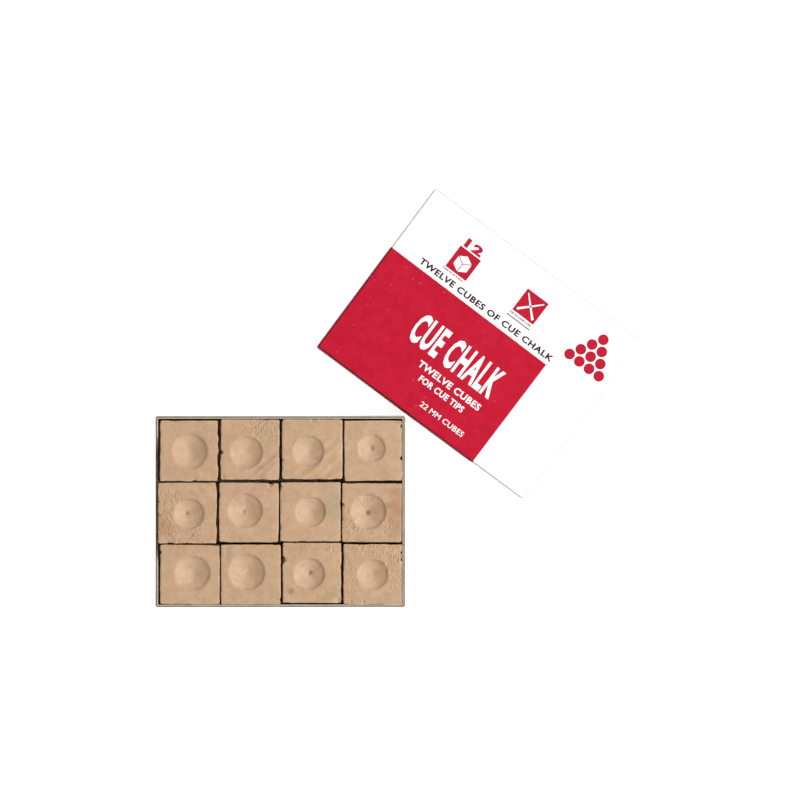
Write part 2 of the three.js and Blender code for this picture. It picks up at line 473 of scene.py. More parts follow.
def lid_print_material():
    """The lid's white paper with its red printed block, light satin, scuffed by handling, with painted shade
    on its sides and folds.
    """
    g = Graph("printed_lid_paper", roughness=0.6, specular=0.08)
    split = g.node("ShaderNodeSeparateXYZ", {"Vector": g.attribute("net", "Vector")})
    along, up = split.outputs["X"], split.outputs["Y"]
    wander = g.times(g.maths("SUBTRACT", g.noise(900, detail=2), 0.5), 0.12 * MM)
    in_x = g.spread(g.plus(along, wander), (RED_RIGHT + 0.05) * MM, (RED_RIGHT - 0.05) * MM)
    in_y = g.spread(g.plus(up, wander), (RED_TOP + 0.05) * MM, (RED_TOP - 0.05) * MM)
    red = g.times(in_x, in_y)
    fibres = paper_fibres(g, 1000)
    paper = g.mix(g.spread(fibres, 0.35, 0.65), (0.77, 0.775, 0.775), WHITE_PAPER)
    ink = g.mix(g.spread(g.noise(300, detail=4), 0.35, 0.65), seen_as(199, 20, 50), seen_as(208, 26, 57))
    # Painted shade: the red is painted darker down the lid's sides.
    ink = g.mix(g.attribute("wall", "Fac"), ink, seen_as(150, 20, 40))
    uneven = g.spread(g.noise(350, detail=3), 0.25, 0.6, 0.75, 1.0)
    # Painted shade: the ink and the paper are painted darker along the lid's folded edges.
    painted_fold_shade = g.times(g.attribute("painted_fold_shade", "Fac"), uneven)
    ink = g.mix(painted_fold_shade, ink, seen_as(92, 22, 30))
    paper = g.mix(painted_fold_shade, paper, seen_as(194, 197, 196))
    rubs = g.noise(420, detail=2, vector=g.stretched((1, 7, 1), 0.5))
    scuff = g.times(g.spread(rubs, 0.64, 0.82), g.spread(g.noise(60, detail=2), 0.5, 0.7))
    dots = g.times(g.spread(g.noise(650, detail=1), 0.69, 0.77), g.spread(g.noise(45), 0.42, 0.56))
    marks = g.maths("MAXIMUM", g.times(scuff, 0.35), g.times(dots, 0.4))
    worn = g.mix(marks, ink, seen_as(228, 110, 125))
    g.colour(g.mix(red, paper, worn))
    g.rough(g.spread(rubs, 0.3, 0.8, 0.5, 0.7))
    under = g.bump(g.noise(140, detail=2), 0.10 * MM, 0.25)
    g.bump(fibres, 0.02 * MM, 0.4, under=under)
    return g.material


def ink_material(name, deep, light):
    """Printing ink lying on the paper, a little uneven."""
    g = Graph(name, roughness=0.6, specular=0.08)
    g.colour(g.mix(g.spread(g.noise(900, detail=3), 0.35, 0.65), deep, light))
    g.bump(g.noise(1500, detail=2), 0.01 * MM, 0.4)
    return g.material


def label_material():
    """The label's printed outside: dark brown, with a plain pale frame and a diamond on each side."""
    g = Graph("printed_label", roughness=0.6, specular=0.3)
    split = g.node("ShaderNodeSeparateXYZ", {"Vector": g.attribute("net", "Vector")})
    across = split.outputs["X"]
    up = g.maths("ABSOLUTE", g.maths("SUBTRACT", split.outputs["Y"], LABEL_MIDDLE * MM))
    frame_line = band(g, g.maths("MAXIMUM", across, up), LABEL_FRAME, LABEL_LINE)
    diamond = g.plus(across, g.times(up, 0.85))
    diamond_line = band(g, diamond, LABEL_DIAMOND, LABEL_LINE)
    core = g.spread(diamond, (LABEL_CORE + 0.15) * MM, (LABEL_CORE - 0.15) * MM)
    pale = g.maths("MAXIMUM", g.maths("MAXIMUM", frame_line, diamond_line), core)
    fibres = paper_fibres(g, 1200)
    brown = g.mix(g.spread(fibres, 0.35, 0.65), (0.075, 0.026, 0.014), (0.12, 0.045, 0.024))
    tan = g.mix(g.spread(fibres, 0.35, 0.65), (0.5, 0.33, 0.19), (0.6, 0.42, 0.26))
    printed = g.mix(pale, brown, tan)
    dust = g.spread(g.noise(300, detail=4, roughness=0.65), 0.52, 0.75)
    g.colour(g.mix(g.times(dust, 0.35), printed, CHALK))
    g.bump(fibres, 0.02 * MM, 0.5)
    return g.material


def band(g, value, middle, width):
    """1 where a distance lies within width of the middle, both in millimetres."""
    off = g.maths("ABSOLUTE", g.maths("SUBTRACT", value, middle * MM))
    return g.spread(off, (width + 0.05) * MM, (width - 0.05) * MM)


def floor_material():
    """A pale table lit from beneath too, so that shadows on it stay faint."""
    g = Graph("pale_floor", roughness=0.75, specular=0.15)
    g.shader.inputs["Emission Color"].default_value = (1, 1, 1, 1)
    g.shader.inputs["Emission Strength"].default_value = FLOOR_GLOW
    g.colour(g.mix(g.noise(6, detail=3), (0.955, 0.955, 0.955), (0.97, 0.97, 0.97)))
    g.bump(g.noise(500, detail=2), 0.02 * MM, 0.2)
    return g.material


# ---------------------------------------------------------------- the chalk blocks

# What each face carries. Places are millimetres from the face's middle, x right and y up.
# rim: how soft the dimple's rim is. pit: the tool point's mark, as (x, y, depth, radius) from its middle.
# crinkles and streaks: (x, y, radius, direction in degrees, depth). creases: how deep the folds in the
# dimple are. chips and stains lie where they do on the face, and a chip at the block's edge notches it.
# stains: (x, y, radius, colour, strength). chips: (x, y, radius, depth).
# worn: how far the face's left, right, near and far edges have crumbled back, or bulge if negative.
FACES = {
    "01": {
        "rim": 0.22,
        "worn": (0.3, 0.6, -0.3, -0.12),
        "streaks": [(6, 4, 6, 80, 0.06)],
        "stains": [(6, 6, 4.5, GREY, 0.35), (-7, -7, 5, PINK, 0.3)],
        "chips": [(2.0, -10.8, 1.0, 0.25)],
    },
    "02": {
        "rim": 0.07,
        "worn": (0.2, 0.21, -0.22, -0.08),
        "crinkles": [(2.5, 8.0, 5.0, 62, 0.15), (7.5, 7.5, 4.5, 112, 0.17)],
        "streaks": [(5, -5, 9, 42, 0.24)],
        "stains": [(6, 7.5, 4.5, GREY, 0.3), (4.5, -10, 2.0, RUST, 0.4), (7, -3, 4, PINK, 0.5)],
        "chips": [(4.5, -10.8, 2.0, 0.12), (-10.8, -1.2, 0.9, 0.9), (-9.8, -10.2, 0.7, 0.3)],
    },
    "03": {
        "rim": 0.08,
        "worn": (-0.2, -0.2, -0.08, -0.08),
        "streaks": [(7, -1, 9, 42, 0.24), (1, -8, 9, 34, 0.27)],
        "stains": [(-3, 7, 5, GREY, 0.2), (4, -8, 5, RUST, 0.12)],
        "chips": [(0.5, 10.8, 1.3, 0.25), (-10.8, -4, 0.6, 0.2)],
    },
    "04": {
        "rim": 0.10,
        "worn": (0.8, 0.25, -0.19, -0.08),
        "pit": (0, 0, 0.3, 0.7),
        "streaks": [(5, -6, 8, -52, 0.09), (-7, 5, 6, -52, 0.06)],
        "stains": [(-6, 8, 4, PINK, 0.4)],
        "chips": [(10.8, -2.8, 0.9, 0.9), (10.8, 9.0, 0.7, 0.7)],
    },
    "05": {
        "rim": 0.07,
        "worn": (0, 0.8, -0.3, -0.12),
        "pit": (-0.9, 0.2, 0.35, 0.7),
        "crinkles": [
            (-8.2, 3, 6.5, 111, 0.15),
            (-8.5, -4, 5.5, 118, 0.14),
            (-2, -9, 7.5, 108, 0.15),
            (4.5, -8.5, 4.5, 104, 0.1),
        ],
        "streaks": [(6, 6, 7, -48, 0.09)],
        "stains": [(-9, -5, 4.5, RUST, 0.45), (7, -8, 4, PINK, 0.4), (9, 0, 4, PINK, 0.3)],
        "chips": [(-10.8, 4, 0.6, 0.2), (-10.8, -1, 0.8, 0.2)],
    },
    "06": {
        "rim": 0.09,
        "worn": (-0.14, 0.07, 0.03, -0.05),
        "pit": (-0.6, -0.5, 0.28, 0.6),
        "creases": 0.07,
        "crinkles": [(-6, 6, 3.5, 75, 0.06)],
        "streaks": [(0, -9, 8, -45, 0.08)],
        "stains": [(-3, 8, 5, PINK, 0.3)],
        "chips": [(7.5, 10.8, 1.5, 0.5)],
    },
    "07": {
        "rim": 0.06,
        "worn": (-0.25, -0.19, 0.06, 0.14),
        "streaks": [(0, 0, 11, 85, 0.04)],
        "stains": [(8.5, 2, 5.5, GREY, 0.75), (6, 8, 5, GREY, 0.4)],
        "chips": [(-10.8, 9.5, 0.7, 0.3)],
    },
    "08": {
        "rim": 0.09,
        "worn": (-0.1, 0.1, 0.13, 0.19),
        "pit": (-0.4, -0.5, 0.45, 0.8),
        "creases": 0.12,
        "crinkles": [(-8.8, -2.5, 5.5, 48, 0.17), (-6, -8, 4.5, 55, 0.13), (5.2, -5.5, 3.0, 70, 0.15)],
        "stains": [
            (9.8, 4.5, 5, RUST, 0.6),
            (9.5, -1.5, 4.5, RUST, 0.5),
            (9, -6, 4, RUST, 0.4),
            (7.2, 1.5, 3.5, SHADOW, 0.5),
        ],
        "chips": [(-10.8, 2.6, 0.9, 0.5), (-10.8, -2.8, 0.6, 0.2)],
    },
    "09": {
        "rim": 0.24,
        "worn": (0, 0, -0.08, 0.17),
        "streaks": [(-6, 8, 5, -45, 0.08)],
        "stains": [(-8, 6, 4, GREY, 0.2), (5, 8, 5, PINK, 0.25)],
        "chips": [(-10.8, 8, 0.7, 0.4)],
    },
    "10": {
        "rim": 0.12,
        "worn": (0, -0.14, -0.08, 0),
        "streaks": [(-7, 8, 4.5, 88, 0.12)],
        "stains": [(-9, 9, 3, GREY, 0.3), (8, -7, 5, RUST, 0.1)],
        "chips": [(10.8, -9.5, 0.9, 0.4)],
    },
    "11": {
        "rim": 0.06,
        "worn": (0.29, 0.25, -0.08, -0.13),
        "pit": (0.3, 0.3, 0.35, 0.7),
        "crinkles": [(5, 9.3, 3.6, 80, 0.14), (-4, 9.5, 5, 20, 0.07)],
        "streaks": [(4, -7, 8, 42, 0.2)],
        "stains": [(-7.8, -6.6, 1.5, STAIN, 0.7), (-5, 9, 5, SHADOW, 0.25), (9, -9, 2.5, GREY, 0.4)],
        "chips": [(-10.8, 5.0, 1.5, 1.0), (9.8, -10.2, 1.2, 0.3), (10.8, 2, 0.7, 0.3)],
    },
    "12": {
        "rim": 0.09,
        "worn": (0.25, 0.22, -0.08, -0.2),
        "pit": (-2.1, -0.6, 0.16, 0.8),
        "crinkles": [
            (-3, 8.3, 6, 62, 0.14),
            (6, 8.3, 5.5, 68, 0.15),
            (9, 1, 6, 74, 0.14),
            (-8.5, 1.5, 6, 66, 0.12),
            (-7, -7.5, 5.5, 120, 0.13),
        ],
        "stains": [(-8, 6, 4, RUST, 0.15), (5, -9, 3, RUST, 0.2), (6, -6, 5, PINK, 0.3)],
        "chips": [
            (-7.9, -10.2, 0.6, 0.25),
            (-3.3, -10.2, 0.7, 0.3),
            (10.8, 8, 0.8, 0.6),
            (10.8, 5.5, 0.6, 0.5),
        ],
    },
}


NO_PIT = (0, 0, 0, 1)


def crinkle_height(x, y, look, seed):
    """Short broken ridges side by side, like creased skin, where the face dragged as it was pressed."""
    total = np.zeros_like(x)
    for index, (at_x, at_y, radius, direction, depth) in enumerate(look.get("crinkles", ())):
        along, across = turned(x, y, direction)
        across = across + 0.45 * smooth_noise(along, across, 1.6, seed + index)
        broken = smooth_step(0.6 + 1.7 * smooth_noise(along, across, 0.8, seed + 20 + index, stretch=1.5))
        waves = np.sin(2 * math.pi * across / CRINKLE_PITCH) * broken
        rough = smooth_noise(along, across, 0.45 * CRINKLE_PITCH, seed + 40 + index, stretch=2)
        patch = blob(x, y, (at_x, at_y), 1.15 * radius, seed + 60 + index, 0.5)
        total += depth * (0.75 * waves + 0.75 * rough) * patch
    return total


def streak_height(x, y, look, seed):
    """Long drag marks, all one way."""
    total = np.zeros_like(x)
    for index, (at_x, at_y, radius, direction, depth) in enumerate(look.get("streaks", ())):
        along, across = turned(x, y, direction)
        fine = smooth_noise(along, across, 0.6, seed + index, stretch=14)
        broad = smooth_noise(along, across, 1.8, seed + 30 + index, stretch=6)
        total += depth * (0.2 * fine + broad) * blob(x, y, (at_x, at_y), radius, seed + 70 + index, 0.25)
    return total


def dimple_depth(reach, radius):
    """The dimple's depth below the face, at a distance from its middle; negative beyond its rim."""
    full = DIMPLE_CONE * (np.hypot(radius, DIMPLE_TIP) - DIMPLE_TIP) + DIMPLE_FLARE * radius**2
    bowl = full - DIMPLE_CONE * (np.hypot(reach, DIMPLE_TIP) - DIMPLE_TIP) - DIMPLE_FLARE * reach**2
    rim = DIMPLE_RIM_DEPTH * np.clip((radius - reach) / DIMPLE_RIM_WIDTH, None, 1)
    return bowl + rim


def round_the_compass(bearing, cell, seed):
    """Noise that changes with bearing alone, and meets itself after a full turn."""
    return smooth_noise(4 + 3.6 * np.cos(bearing), 4 + 3.6 * np.sin(bearing), cell, seed)


def dimple_height(x, y, look, centre, radius, seed):
    """The tool's mark, with its rim, its folds, and the pit of the tool's point."""
    dx, dy = x - centre[0], y - centre[1]
    reach = np.hypot(dx, dy)
    soft = look["rim"]
    folds = look.get("creases", 0)
    bearing = np.arctan2(dy, dx)
    pleats = folds * np.abs(round_the_compass(bearing, 1.0, seed + 80))
    pleats = pleats * smooth_step(0.4 - 0.7 * np.cos(bearing - PLEATED_TOWARDS + math.pi))
    outline = radius * (1 - 0.012 * smooth_noise(dx, dy, 3.0, seed + 83)) - 3.4 * pleats
    total = -soft * np.logaddexp(0, dimple_depth(reach, outline) / soft)
    total += 1.1 * pleats * smooth_step((radius - reach) / 0.8) * smooth_step((reach - 2.2) / 3)
    pit_x, pit_y, pit_depth, pit_radius = look.get("pit", NO_PIT)
    pit = np.hypot(dx - pit_x, dy - pit_y)
    star = round_the_compass(np.arctan2(dy - pit_y, dx - pit_x), 0.7, seed + 84)
    total -= 1.5 * folds * star * smooth_step(pit / 0.8) * np.exp(-((pit / 2.4) ** 2))
    uneven = 1 + 0.3 * smooth_noise(x, y, 0.3, seed + 82)
    return total - 2 * pit_depth * np.exp(-((pit / pit_radius) ** 2)) * uneven


def chip_depth(x, y, look, seed):
    """How deep the chips take each point near the edge."""
    total = np.zeros_like(x)
    for index, (at_x, at_y, radius, depth) in enumerate(look.get("chips", ())):
        reach = np.hypot(x - at_x, y - at_y) / radius + 0.35 * smooth_noise(x, y, 0.5, seed + 90 + index)
        total = np.maximum(total, depth * smooth_step(1.5 * (1 - reach)))
    return total


def face_height(x, y, look, centre, radius, half, seed):
    """The height of the chalk's face over its nominal plane, in millimetres."""
    to_edge = half - np.maximum(np.abs(x), np.abs(y))
    waves = enumerate(FACE_WAVES, start=1)
    relief = sum(size * smooth_noise(x, y, cell, seed + index) for index, (cell, size) in waves)
    arris = 0.16 + 0.1 * smooth_noise(x, y, 1.8, seed + 5)
    rounding = -arris * np.exp(-((to_edge / 0.24) ** 2)) - 0.03 * np.exp(-((to_edge / 0.9) ** 2))
    marks = crinkle_height(x, y, look, seed + 100) + streak_height(x, y, look, seed + 200)
    dimple = dimple_height(x, y, look, centre, radius, seed)
    outside = 1 - 0.8 * smooth_step((radius - np.hypot(x - centre[0], y - centre[1])) / 0.8)
    return relief + rounding + marks * outside + dimple - chip_depth(x, y, look, seed)


def nibbled(points, half, look, depth_below, seed):
    """Draws points near the block's upright faces in, where the arris has crumbled."""
    x, y = points[..., 0], points[..., 1]
    fade = math.exp(-depth_below / 1.8)
    ragged = 0.06 * smooth_step(smooth_noise(x, y, 0.9, seed + 6) * 1.6)
    ragged = ragged + 0.16 * smooth_step(smooth_noise(x, y, 3.1, seed + 7) * 1.5 - 0.2)
    bite = ragged + 0.6 * chip_depth(x, y, look, seed)
    left, right, near, far = look["worn"]
    worn_x = np.where(x < 0, left, right) * (0.8 + 0.4 * smooth_noise(x, y, 2.2, seed + 11))
    worn_y = np.where(y < 0, near, far) * (0.8 + 0.4 * smooth_noise(x, y, 2.2, seed + 12))
    close = np.exp(-np.abs(half - np.abs(points)) / 0.5)
    drawn = close * fade * (bite[..., None] + np.stack([worn_x, worn_y], -1))
    return points - np.sign(points) * drawn


def face_colours(x, y, look, centre, radius, half, seed):
    """The chalk's colour: painted light inside the dimple, crushed powder and a painted highlight at its
    edges, painted shade in the pit, and stains.
    """
    # Painted light: inside the dimple the chalk is painted lighter than on the rest of the face.
    pressed = smooth_step((radius - np.hypot(x - centre[0], y - centre[1])) / 0.6)[..., None]
    base = np.array(CHALK) * (1 - pressed) + np.array(DIMPLE_PAINTED_LIGHT) * pressed
    cloud = smooth_noise(x, y, 5.0, seed + 8)[..., None]
    fine = smooth_noise(x, y, 1.2, seed + 9)[..., None]
    streaks = streak_height(x, y, look, seed + 200)[..., None] * (1 - 0.8 * pressed)
    colour = base * (1 + 0.03 * cloud + 0.022 * fine + STREAK_TINT * streaks)
    # Paler along the face's edges: partly crushed chalk powder, partly a painted highlight.
    to_edge = (half - np.maximum(np.abs(x), np.abs(y)))[..., None]
    powder_and_highlight = (0.6 + 0.4 * smooth_noise(x, y, 1.0, seed + 13))[..., None] * np.exp(-((to_edge / 0.35) ** 2))
    colour = colour * (1 + 0.16 * powder_and_highlight)
    pink = smooth_step(smooth_noise(x, y, 6.5, seed + 10) * 1.6)[..., None]
    colour = colour * (1 - 0.25 * pink) + np.array(PINK) * 0.25 * pink
    # Painted shade: the colour is darkened in the pit, more the deeper the pit is.
    pit_x, pit_y, pit_depth, pit_radius = look.get("pit", NO_PIT)
    pit = np.hypot(x - centre[0] - pit_x, y - centre[1] - pit_y) / pit_radius
    colour = colour * (1 - 0.8 * pit_depth * np.exp(-(pit**2)))[..., None]
    for index, (at_x, at_y, radius, stain, strength) in enumerate(look.get("stains", ())):
        share = strength * blob(x, y, (at_x, at_y), 1.15 * radius, seed + 50 + index, 0.25)[..., None]
        colour = colour * (1 - share) + np.array(stain) * share
    return np.concatenate([colour, np.ones_like(cloud)], -1)


# Depths below the face of the rings that make the block's upright sides, in millimetres.
SIDE_DEPTHS = (0.04, 0.12, 0.25, 0.45, 0.7, 1.0, 1.5, 2.2, 3.2, 5.0, 9.0, 14.0, 19.0)


def chalk_block(number, material):
    """One chalk block: a finely modelled face, crumbled arrises and plain sides, as one closed mesh."""
    node = f"chalk_block_{number}"
    plan = Plan(node)
    centre, radius = dimple_of(node, plan)
    look, seed = FACES[number], 1000 * int(number)
    side = plan.half / MM
    half = side + OVERHANG
    across = np.linspace(-half[0], half[0], round(2 * half[0] / FACE_STEP) + 1)
    grid = np.stack(np.meshgrid(across, across * half[1] / half[0], indexing="ij"), -1)
    grid = rounded(grid, half, BLOCK_CORNER)
    x, y = grid[..., 0], grid[..., 1]
    height = face_height(x, y, look, centre / MM, radius / MM, half.min(), seed)

    def level(depth, heights):
        drawn_in = OVERHANG * smooth_step((depth - LIP_TOP) / (LIP_BOTTOM - LIP_TOP))
        flat = nibbled(grid, half, look, depth, seed) * (half - drawn_in) / half
        return np.concatenate([flat * MM, heights[..., None]], -1)

    levels = [level(0, plan.high + height * MM)]
    drop = (plan.high - plan.low) / MM
    for depth in SIDE_DEPTHS:
        blend = max(0.0, 1 - depth / RELIEF_REACH)
        levels.append(level(depth, plan.high + (height * blend - depth) * MM))
    levels.append(level(drop, np.full_like(height, plan.low)))
    points, faces = closed_skin(levels)
    flat = points[:, :2].T / MM
    colour = face_colours(*flat, look, centre / MM, radius / MM, half.min(), seed)
    attributes = [("face_colour", "FLOAT_COLOR", colour)]
    block = new_object(f"block_{number}", plan.place(points), faces, attributes, sharp_degrees=60)
    block.data.materials.append(material)
    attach(block, f"cube_{number}")
    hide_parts(node)
    return block


# ---------------------------------------------------------------- paper and board shells


def shell_levels(half, profile, corner, step):
    """A level of points for each (inset, height) of a profile carried round a rounded rectangle."""
    xs, ys = (stations(h, corner, step) for h in half)
    flat = np.stack(np.meshgrid(xs, ys, indexing="ij"), -1)
    levels = []
    for inset, height in profile:
        inner = np.asarray(half) - inset
        radius = max(corner - inset, 0.1 * MM)
        points = rounded(flat * inner / half, inner, radius)
        levels.append(np.concatenate([points, np.full(points.shape[:2] + (1,), height)], -1))
    return levels


def open_shell(plan, inset, thickness, corner, step, rim_rough, seed, crush=0.0):
    """An open-topped layer of board or paper: underside, walls with a rough-cut rim, and inner floor."""
    outer, inner = inset, inset + thickness
    low, high = plan.low, plan.high
    soft = min(0.3 * thickness, 0.08 * MM)
    profile = [
        (outer + soft, low),
        (outer, low + soft),
        *[(outer, low + (high - low) * share) for share in (0.25, 0.5, 0.75)],
        (outer, high - soft),
        (outer + soft, high),
        (inner - soft, high),
        (inner, high - soft),
        (inner, low + (high - low) * 0.5),
        (inner, low + thickness + soft),
        (inner + soft, low + thickness),
    ]
    half = plan.half + inset
    levels = shell_levels(half, profile, corner, step)
    points, faces = closed_skin(levels, flip=True)
    x, y, z = points.T
    near_rim = smooth_step((z - high) / RIM_REACH + 1)
    ragged = rim_rough * smooth_noise(x, y, 1.1 * MM, seed)
    at_left = x < CRUSH_WIDTH - half[0]
    crushed = crush * at_left * smooth_step(2.4 * (1 - np.abs(y - CRUSH_MIDDLE) / CRUSH_REACH))
    points[:, 2] += near_rim * (ragged - rim_rough - crushed)
    return points, faces


def tray_layer(node, material, seed):
    """One of the tray's three layers, with its own inset from the tray's outer faces."""
    plan = Plan(node)
    inset, thickness = TRAY_LAYERS[node]
    corner = max(0.9 * MM - inset, 0.25 * MM) + inset
    crush = 0 if node == "tray_wrap" else CRUSH_DEPTH
    points, faces = open_shell(plan, inset, thickness, corner, 1.0 * MM, 0.04 * MM, seed, crush)
    made = new_object(f"{node}_sheet", plan.place(points), faces)
    made.data.materials.append(material)
    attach(made, "tray")
    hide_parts(node)
    return made


def side_distance(points, half):
    """How far along its side each point is from the side's middle: the same for both sides of a corner."""
    x, y = np.abs(points[:, 0]), np.abs(points[:, 1])
    return np.where(half[0] - x < half[1] - y, y, x)


def chalk_label(number, printed, raw):
    """One label: printed paper round the block and folded under it, with a raw cut edge at the top."""
    node = f"chalk_label_{number}"
    plan = Plan(node)
    seed = 3000 + int(number)
    points, faces = open_shell(plan, 0, LABEL_PAPER, 0.75 * MM, 0.7 * MM, 0.07 * MM, seed)
    net = np.stack([side_distance(points, plan.half), points[:, 2] - plan.low, np.zeros(len(points))], -1)
    label = new_object(f"label_{number}", plan.place(points), faces, [("net", "FLOAT_VECTOR", net)])
    label.data.materials.append(printed)
    label.data.materials.append(raw)
    inner = plan.half.min() - LABEL_PAPER * 0.6
    centres = np.array([face.center for face in label.data.polygons])
    local = plan.local(centres[:, :2])
    is_rim = centres[:, 2] > plan.high - 0.13 * MM
    is_inside = (np.abs(local).max(1) < inner) & (centres[:, 2] > plan.low + 0.5 * LABEL_PAPER)
    label.data.polygons.foreach_set("material_index", (is_rim | is_inside).astype(np.int32))
    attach(label, f"cube_{number}")
    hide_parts(node)
    return label


# ---------------------------------------------------------------- the lid


def lid_profile(plan):
    """The lid's paper: down its outside, round the rim, up inside as the turn-in, and back under itself."""
    low, high = plan.low, plan.high
    wall = LID_PAPER + LID_BOARD + 2 * GLUE
    inner = wall + LID_PAPER
    outside = arc_profile(LID_EDGE, high)
    outside += [(0, low + (high - low) * share) for share in (0.8, 0.6, 0.4, 0.2)]
    rim = [(0, low + 0.15 * MM), (0.06 * MM, low + 0.04 * MM), (0.2 * MM, low)]
    rim += [(wall - 0.05 * MM, low), (inner - 0.04 * MM, low + 0.05 * MM), (inner, low + 0.2 * MM)]
    turn_in = [(inner, low + LID_TURN_IN), (wall, low + LID_TURN_IN), (wall, low + LID_PAPER)]
    inside = [(LID_PAPER, low + LID_PAPER), (LID_PAPER, high - LID_EDGE), (LID_EDGE, high - LID_PAPER)]
    return outside + rim + turn_in + inside


def askew(points, angle):
    """Points turned about the Z axis."""
    cos, sin = math.cos(angle), math.sin(angle)
    x, y = points[:, 0], points[:, 1]
    return np.stack([x * cos - y * sin, x * sin + y * cos, points[:, 2]], -1)


def unfolded(profile, levels):
    """Where each point lies on the sheet that the shell was folded from, in closed_skin's order."""
    base = levels[0]
    sides = (base.shape[0] - 1, base.shape[1] - 1, base.shape[0] - 1, base.shape[1] - 1)
    outward = np.repeat([(0, -1), (1, 0), (0, 1), (-1, 0)], sides, axis=0)
    flat = [base[..., :2].reshape(-1, 2)]
    distance = 0.0
    for before, after, level in zip(profile, profile[1:], levels[1:]):
        distance += math.dist(before, after)
        if level is levels[-1]:
            flat.append(level[..., :2].reshape(-1, 2))
        else:
            flat.append(edge_of(base[..., :2]) + outward * distance)
    flat = np.concatenate(flat)
    return np.concatenate([flat, np.zeros((len(flat), 1))], -1)


def lid_paper(plan, material):
    """The lid's printed cover: one sheet over the top and sides, and turned in round the rim."""
    profile = lid_profile(plan)
    levels = shell_levels(plan.half, profile, 0.8 * MM, 1.2 * MM)
    points, faces = closed_skin(levels)
    net = askew(unfolded(profile, levels), -PRINT_TURN)
    # wall marks the lid's sides, which the print material paints darker as painted shade.
    wall = smooth_step((plan.high - points[:, 2]) / (0.4 * MM))
    # These mark the lid's folded edges, which the print material paints darker as painted shade.
    to_fold = np.hypot((plan.half - np.abs(points[:, :2])).min(1), plan.high - points[:, 2])
    painted_fold_shade = smooth_step(1.6 * (1 - to_fold / FOLD_REACH))
    attributes = [("net", "FLOAT_VECTOR", net), ("wall", "FLOAT", wall), ("painted_fold_shade", "FLOAT", painted_fold_shade)]
    lid = new_object("lid_cover", plan.place(points), faces, attributes)
    lid.data.materials.append(material)
    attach(lid, "lid")
    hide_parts("lid_wrap")
    return lid


def flat_piece(name, outlines, plan, low, high, material):
    """Closed flat prisms, one for each outline given in the plan's own plane, as one piece."""
    work = bmesh.new()
    for outline in outlines:
        ring = [work.verts.new((x * MM, y * MM, low)) for x, y in outline]
        face = work.faces.new(ring)
        face.normal_update()
        if face.normal.z > 0:
            face.normal_flip()
        top = bmesh.ops.extrude_face_region(work, geom=[face])["geom"]
        moved = [v for v in top if isinstance(v, bmesh.types.BMVert)]
        bmesh.ops.translate(work, vec=(0, 0, high - low), verts=moved)
    bmesh.ops.recalc_face_normals(work, faces=work.faces)
    work.transform(plan.matrix() @ Matrix.Rotation(PRINT_TURN, 4, "Z"))
    return finished_print(name, work, material)


def finished_print(name, work, material):
    mesh = bpy.data.meshes.new(name)
    work.to_mesh(mesh)
    work.free()
    made = linked(name, mesh)
    made.data.materials.append(material)
    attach(made, "lid")
    return made


def lettering(name, words, plan, middle, width, height, level, material, weight):
    """Plain words as thin closed letters, fitted to a width and a cap height in millimetres."""
    curve = bpy.data.curves.new(name, "FONT")
    curve.body = words
    curve.align_x = "CENTER"
    curve.align_y = "CENTER"
    curve.offset = weight
    curve.space_character = 1 + 3 * weight
    curve.resolution_u = 3
    curve.extrude = 0.5
    holder = linked(name + "_text", curve)
    bpy.context.view_layer.update()
    evaluated = holder.evaluated_get(bpy.context.evaluated_depsgraph_get())
    work = bmesh.new()
    work.from_mesh(evaluated.to_mesh())
    evaluated.to_mesh_clear()
    bpy.data.objects.remove(holder)
    bmesh.ops.remove_doubles(work, verts=work.verts, dist=1e-5)
    corners = np.array([v.co for v in work.verts])
    low, high = corners.min(0), corners.max(0)
    size = high - low
    centre = Vector((low + high) / 2)
    scale = Vector((width * MM / size[0], height * MM / size[1], INK / size[2]))
    where = Matrix.Translation((middle[0] * MM, middle[1] * MM, level + INK / 2))
    fit = Matrix.Diagonal((*scale, 1)) @ Matrix.Translation(-centre)
    work.transform(plan.matrix() @ Matrix.Rotation(PRINT_TURN, 4, "Z") @ where @ fit)
    bmesh.ops.recalc_face_normals(work, faces=work.faces)
    return finished_print(name, work, material)


def square(middle, side):
    x, y = middle
    half = side / 2
    return [(x - half, y - half), (x + half, y - half), (x + half, y + half), (x - half, y + half)]


def disc(middle, radius, sides=28):
    angles = [2 * math.pi * k / sides for k in range(sides)]
    return [(middle[0] + radius * math.cos(a), middle[1] + radius * math.sin(a)) for a in angles]


def bar(start, end, wide_start, wide_end):
    """A tapered bar between two points."""
    run = np.subtract(end, start)
    side = np.array([-run[1], run[0]]) / np.hypot(*run)
    corners = [(start, -wide_start), (end, -wide_end), (end, wide_end), (start, wide_start)]
    return [tuple(np.add(point, side * offset / 2)) for point, offset in corners]


def cube_pictogram(middle, size):
    """The three seen faces of a cube, as three separate rhombi."""
    x, y = middle
    gap = 0.05 * size
    drop = 0.6 * gap
    w, h = ROOT_THREE_HALVES * size, size / 2
    top = [(0, gap), (w, h + gap), (0, 2 * h + gap), (-w, h + gap)]
    left = [(-gap, -drop), (-w - gap, h - drop), (-w - gap, h - size - drop), (-gap, -size - drop)]
    right = [(-px, py) for px, py in left]
    return [[(x + px, y + py) for px, py in face] for face in (top, left, right)]


def rack(middle, radius, rows=4):
    """Balls racked in a triangle, seen from above."""
    step = 2.25 * radius
    balls = []
    for row in range(rows):
        for ball in range(row + 1):
            x = middle[0] + (ball - row / 2) * step
            y = middle[1] + (rows / 2 - row) * step * ROOT_THREE_HALVES
            balls.append(disc((x, y), radius))
    return balls


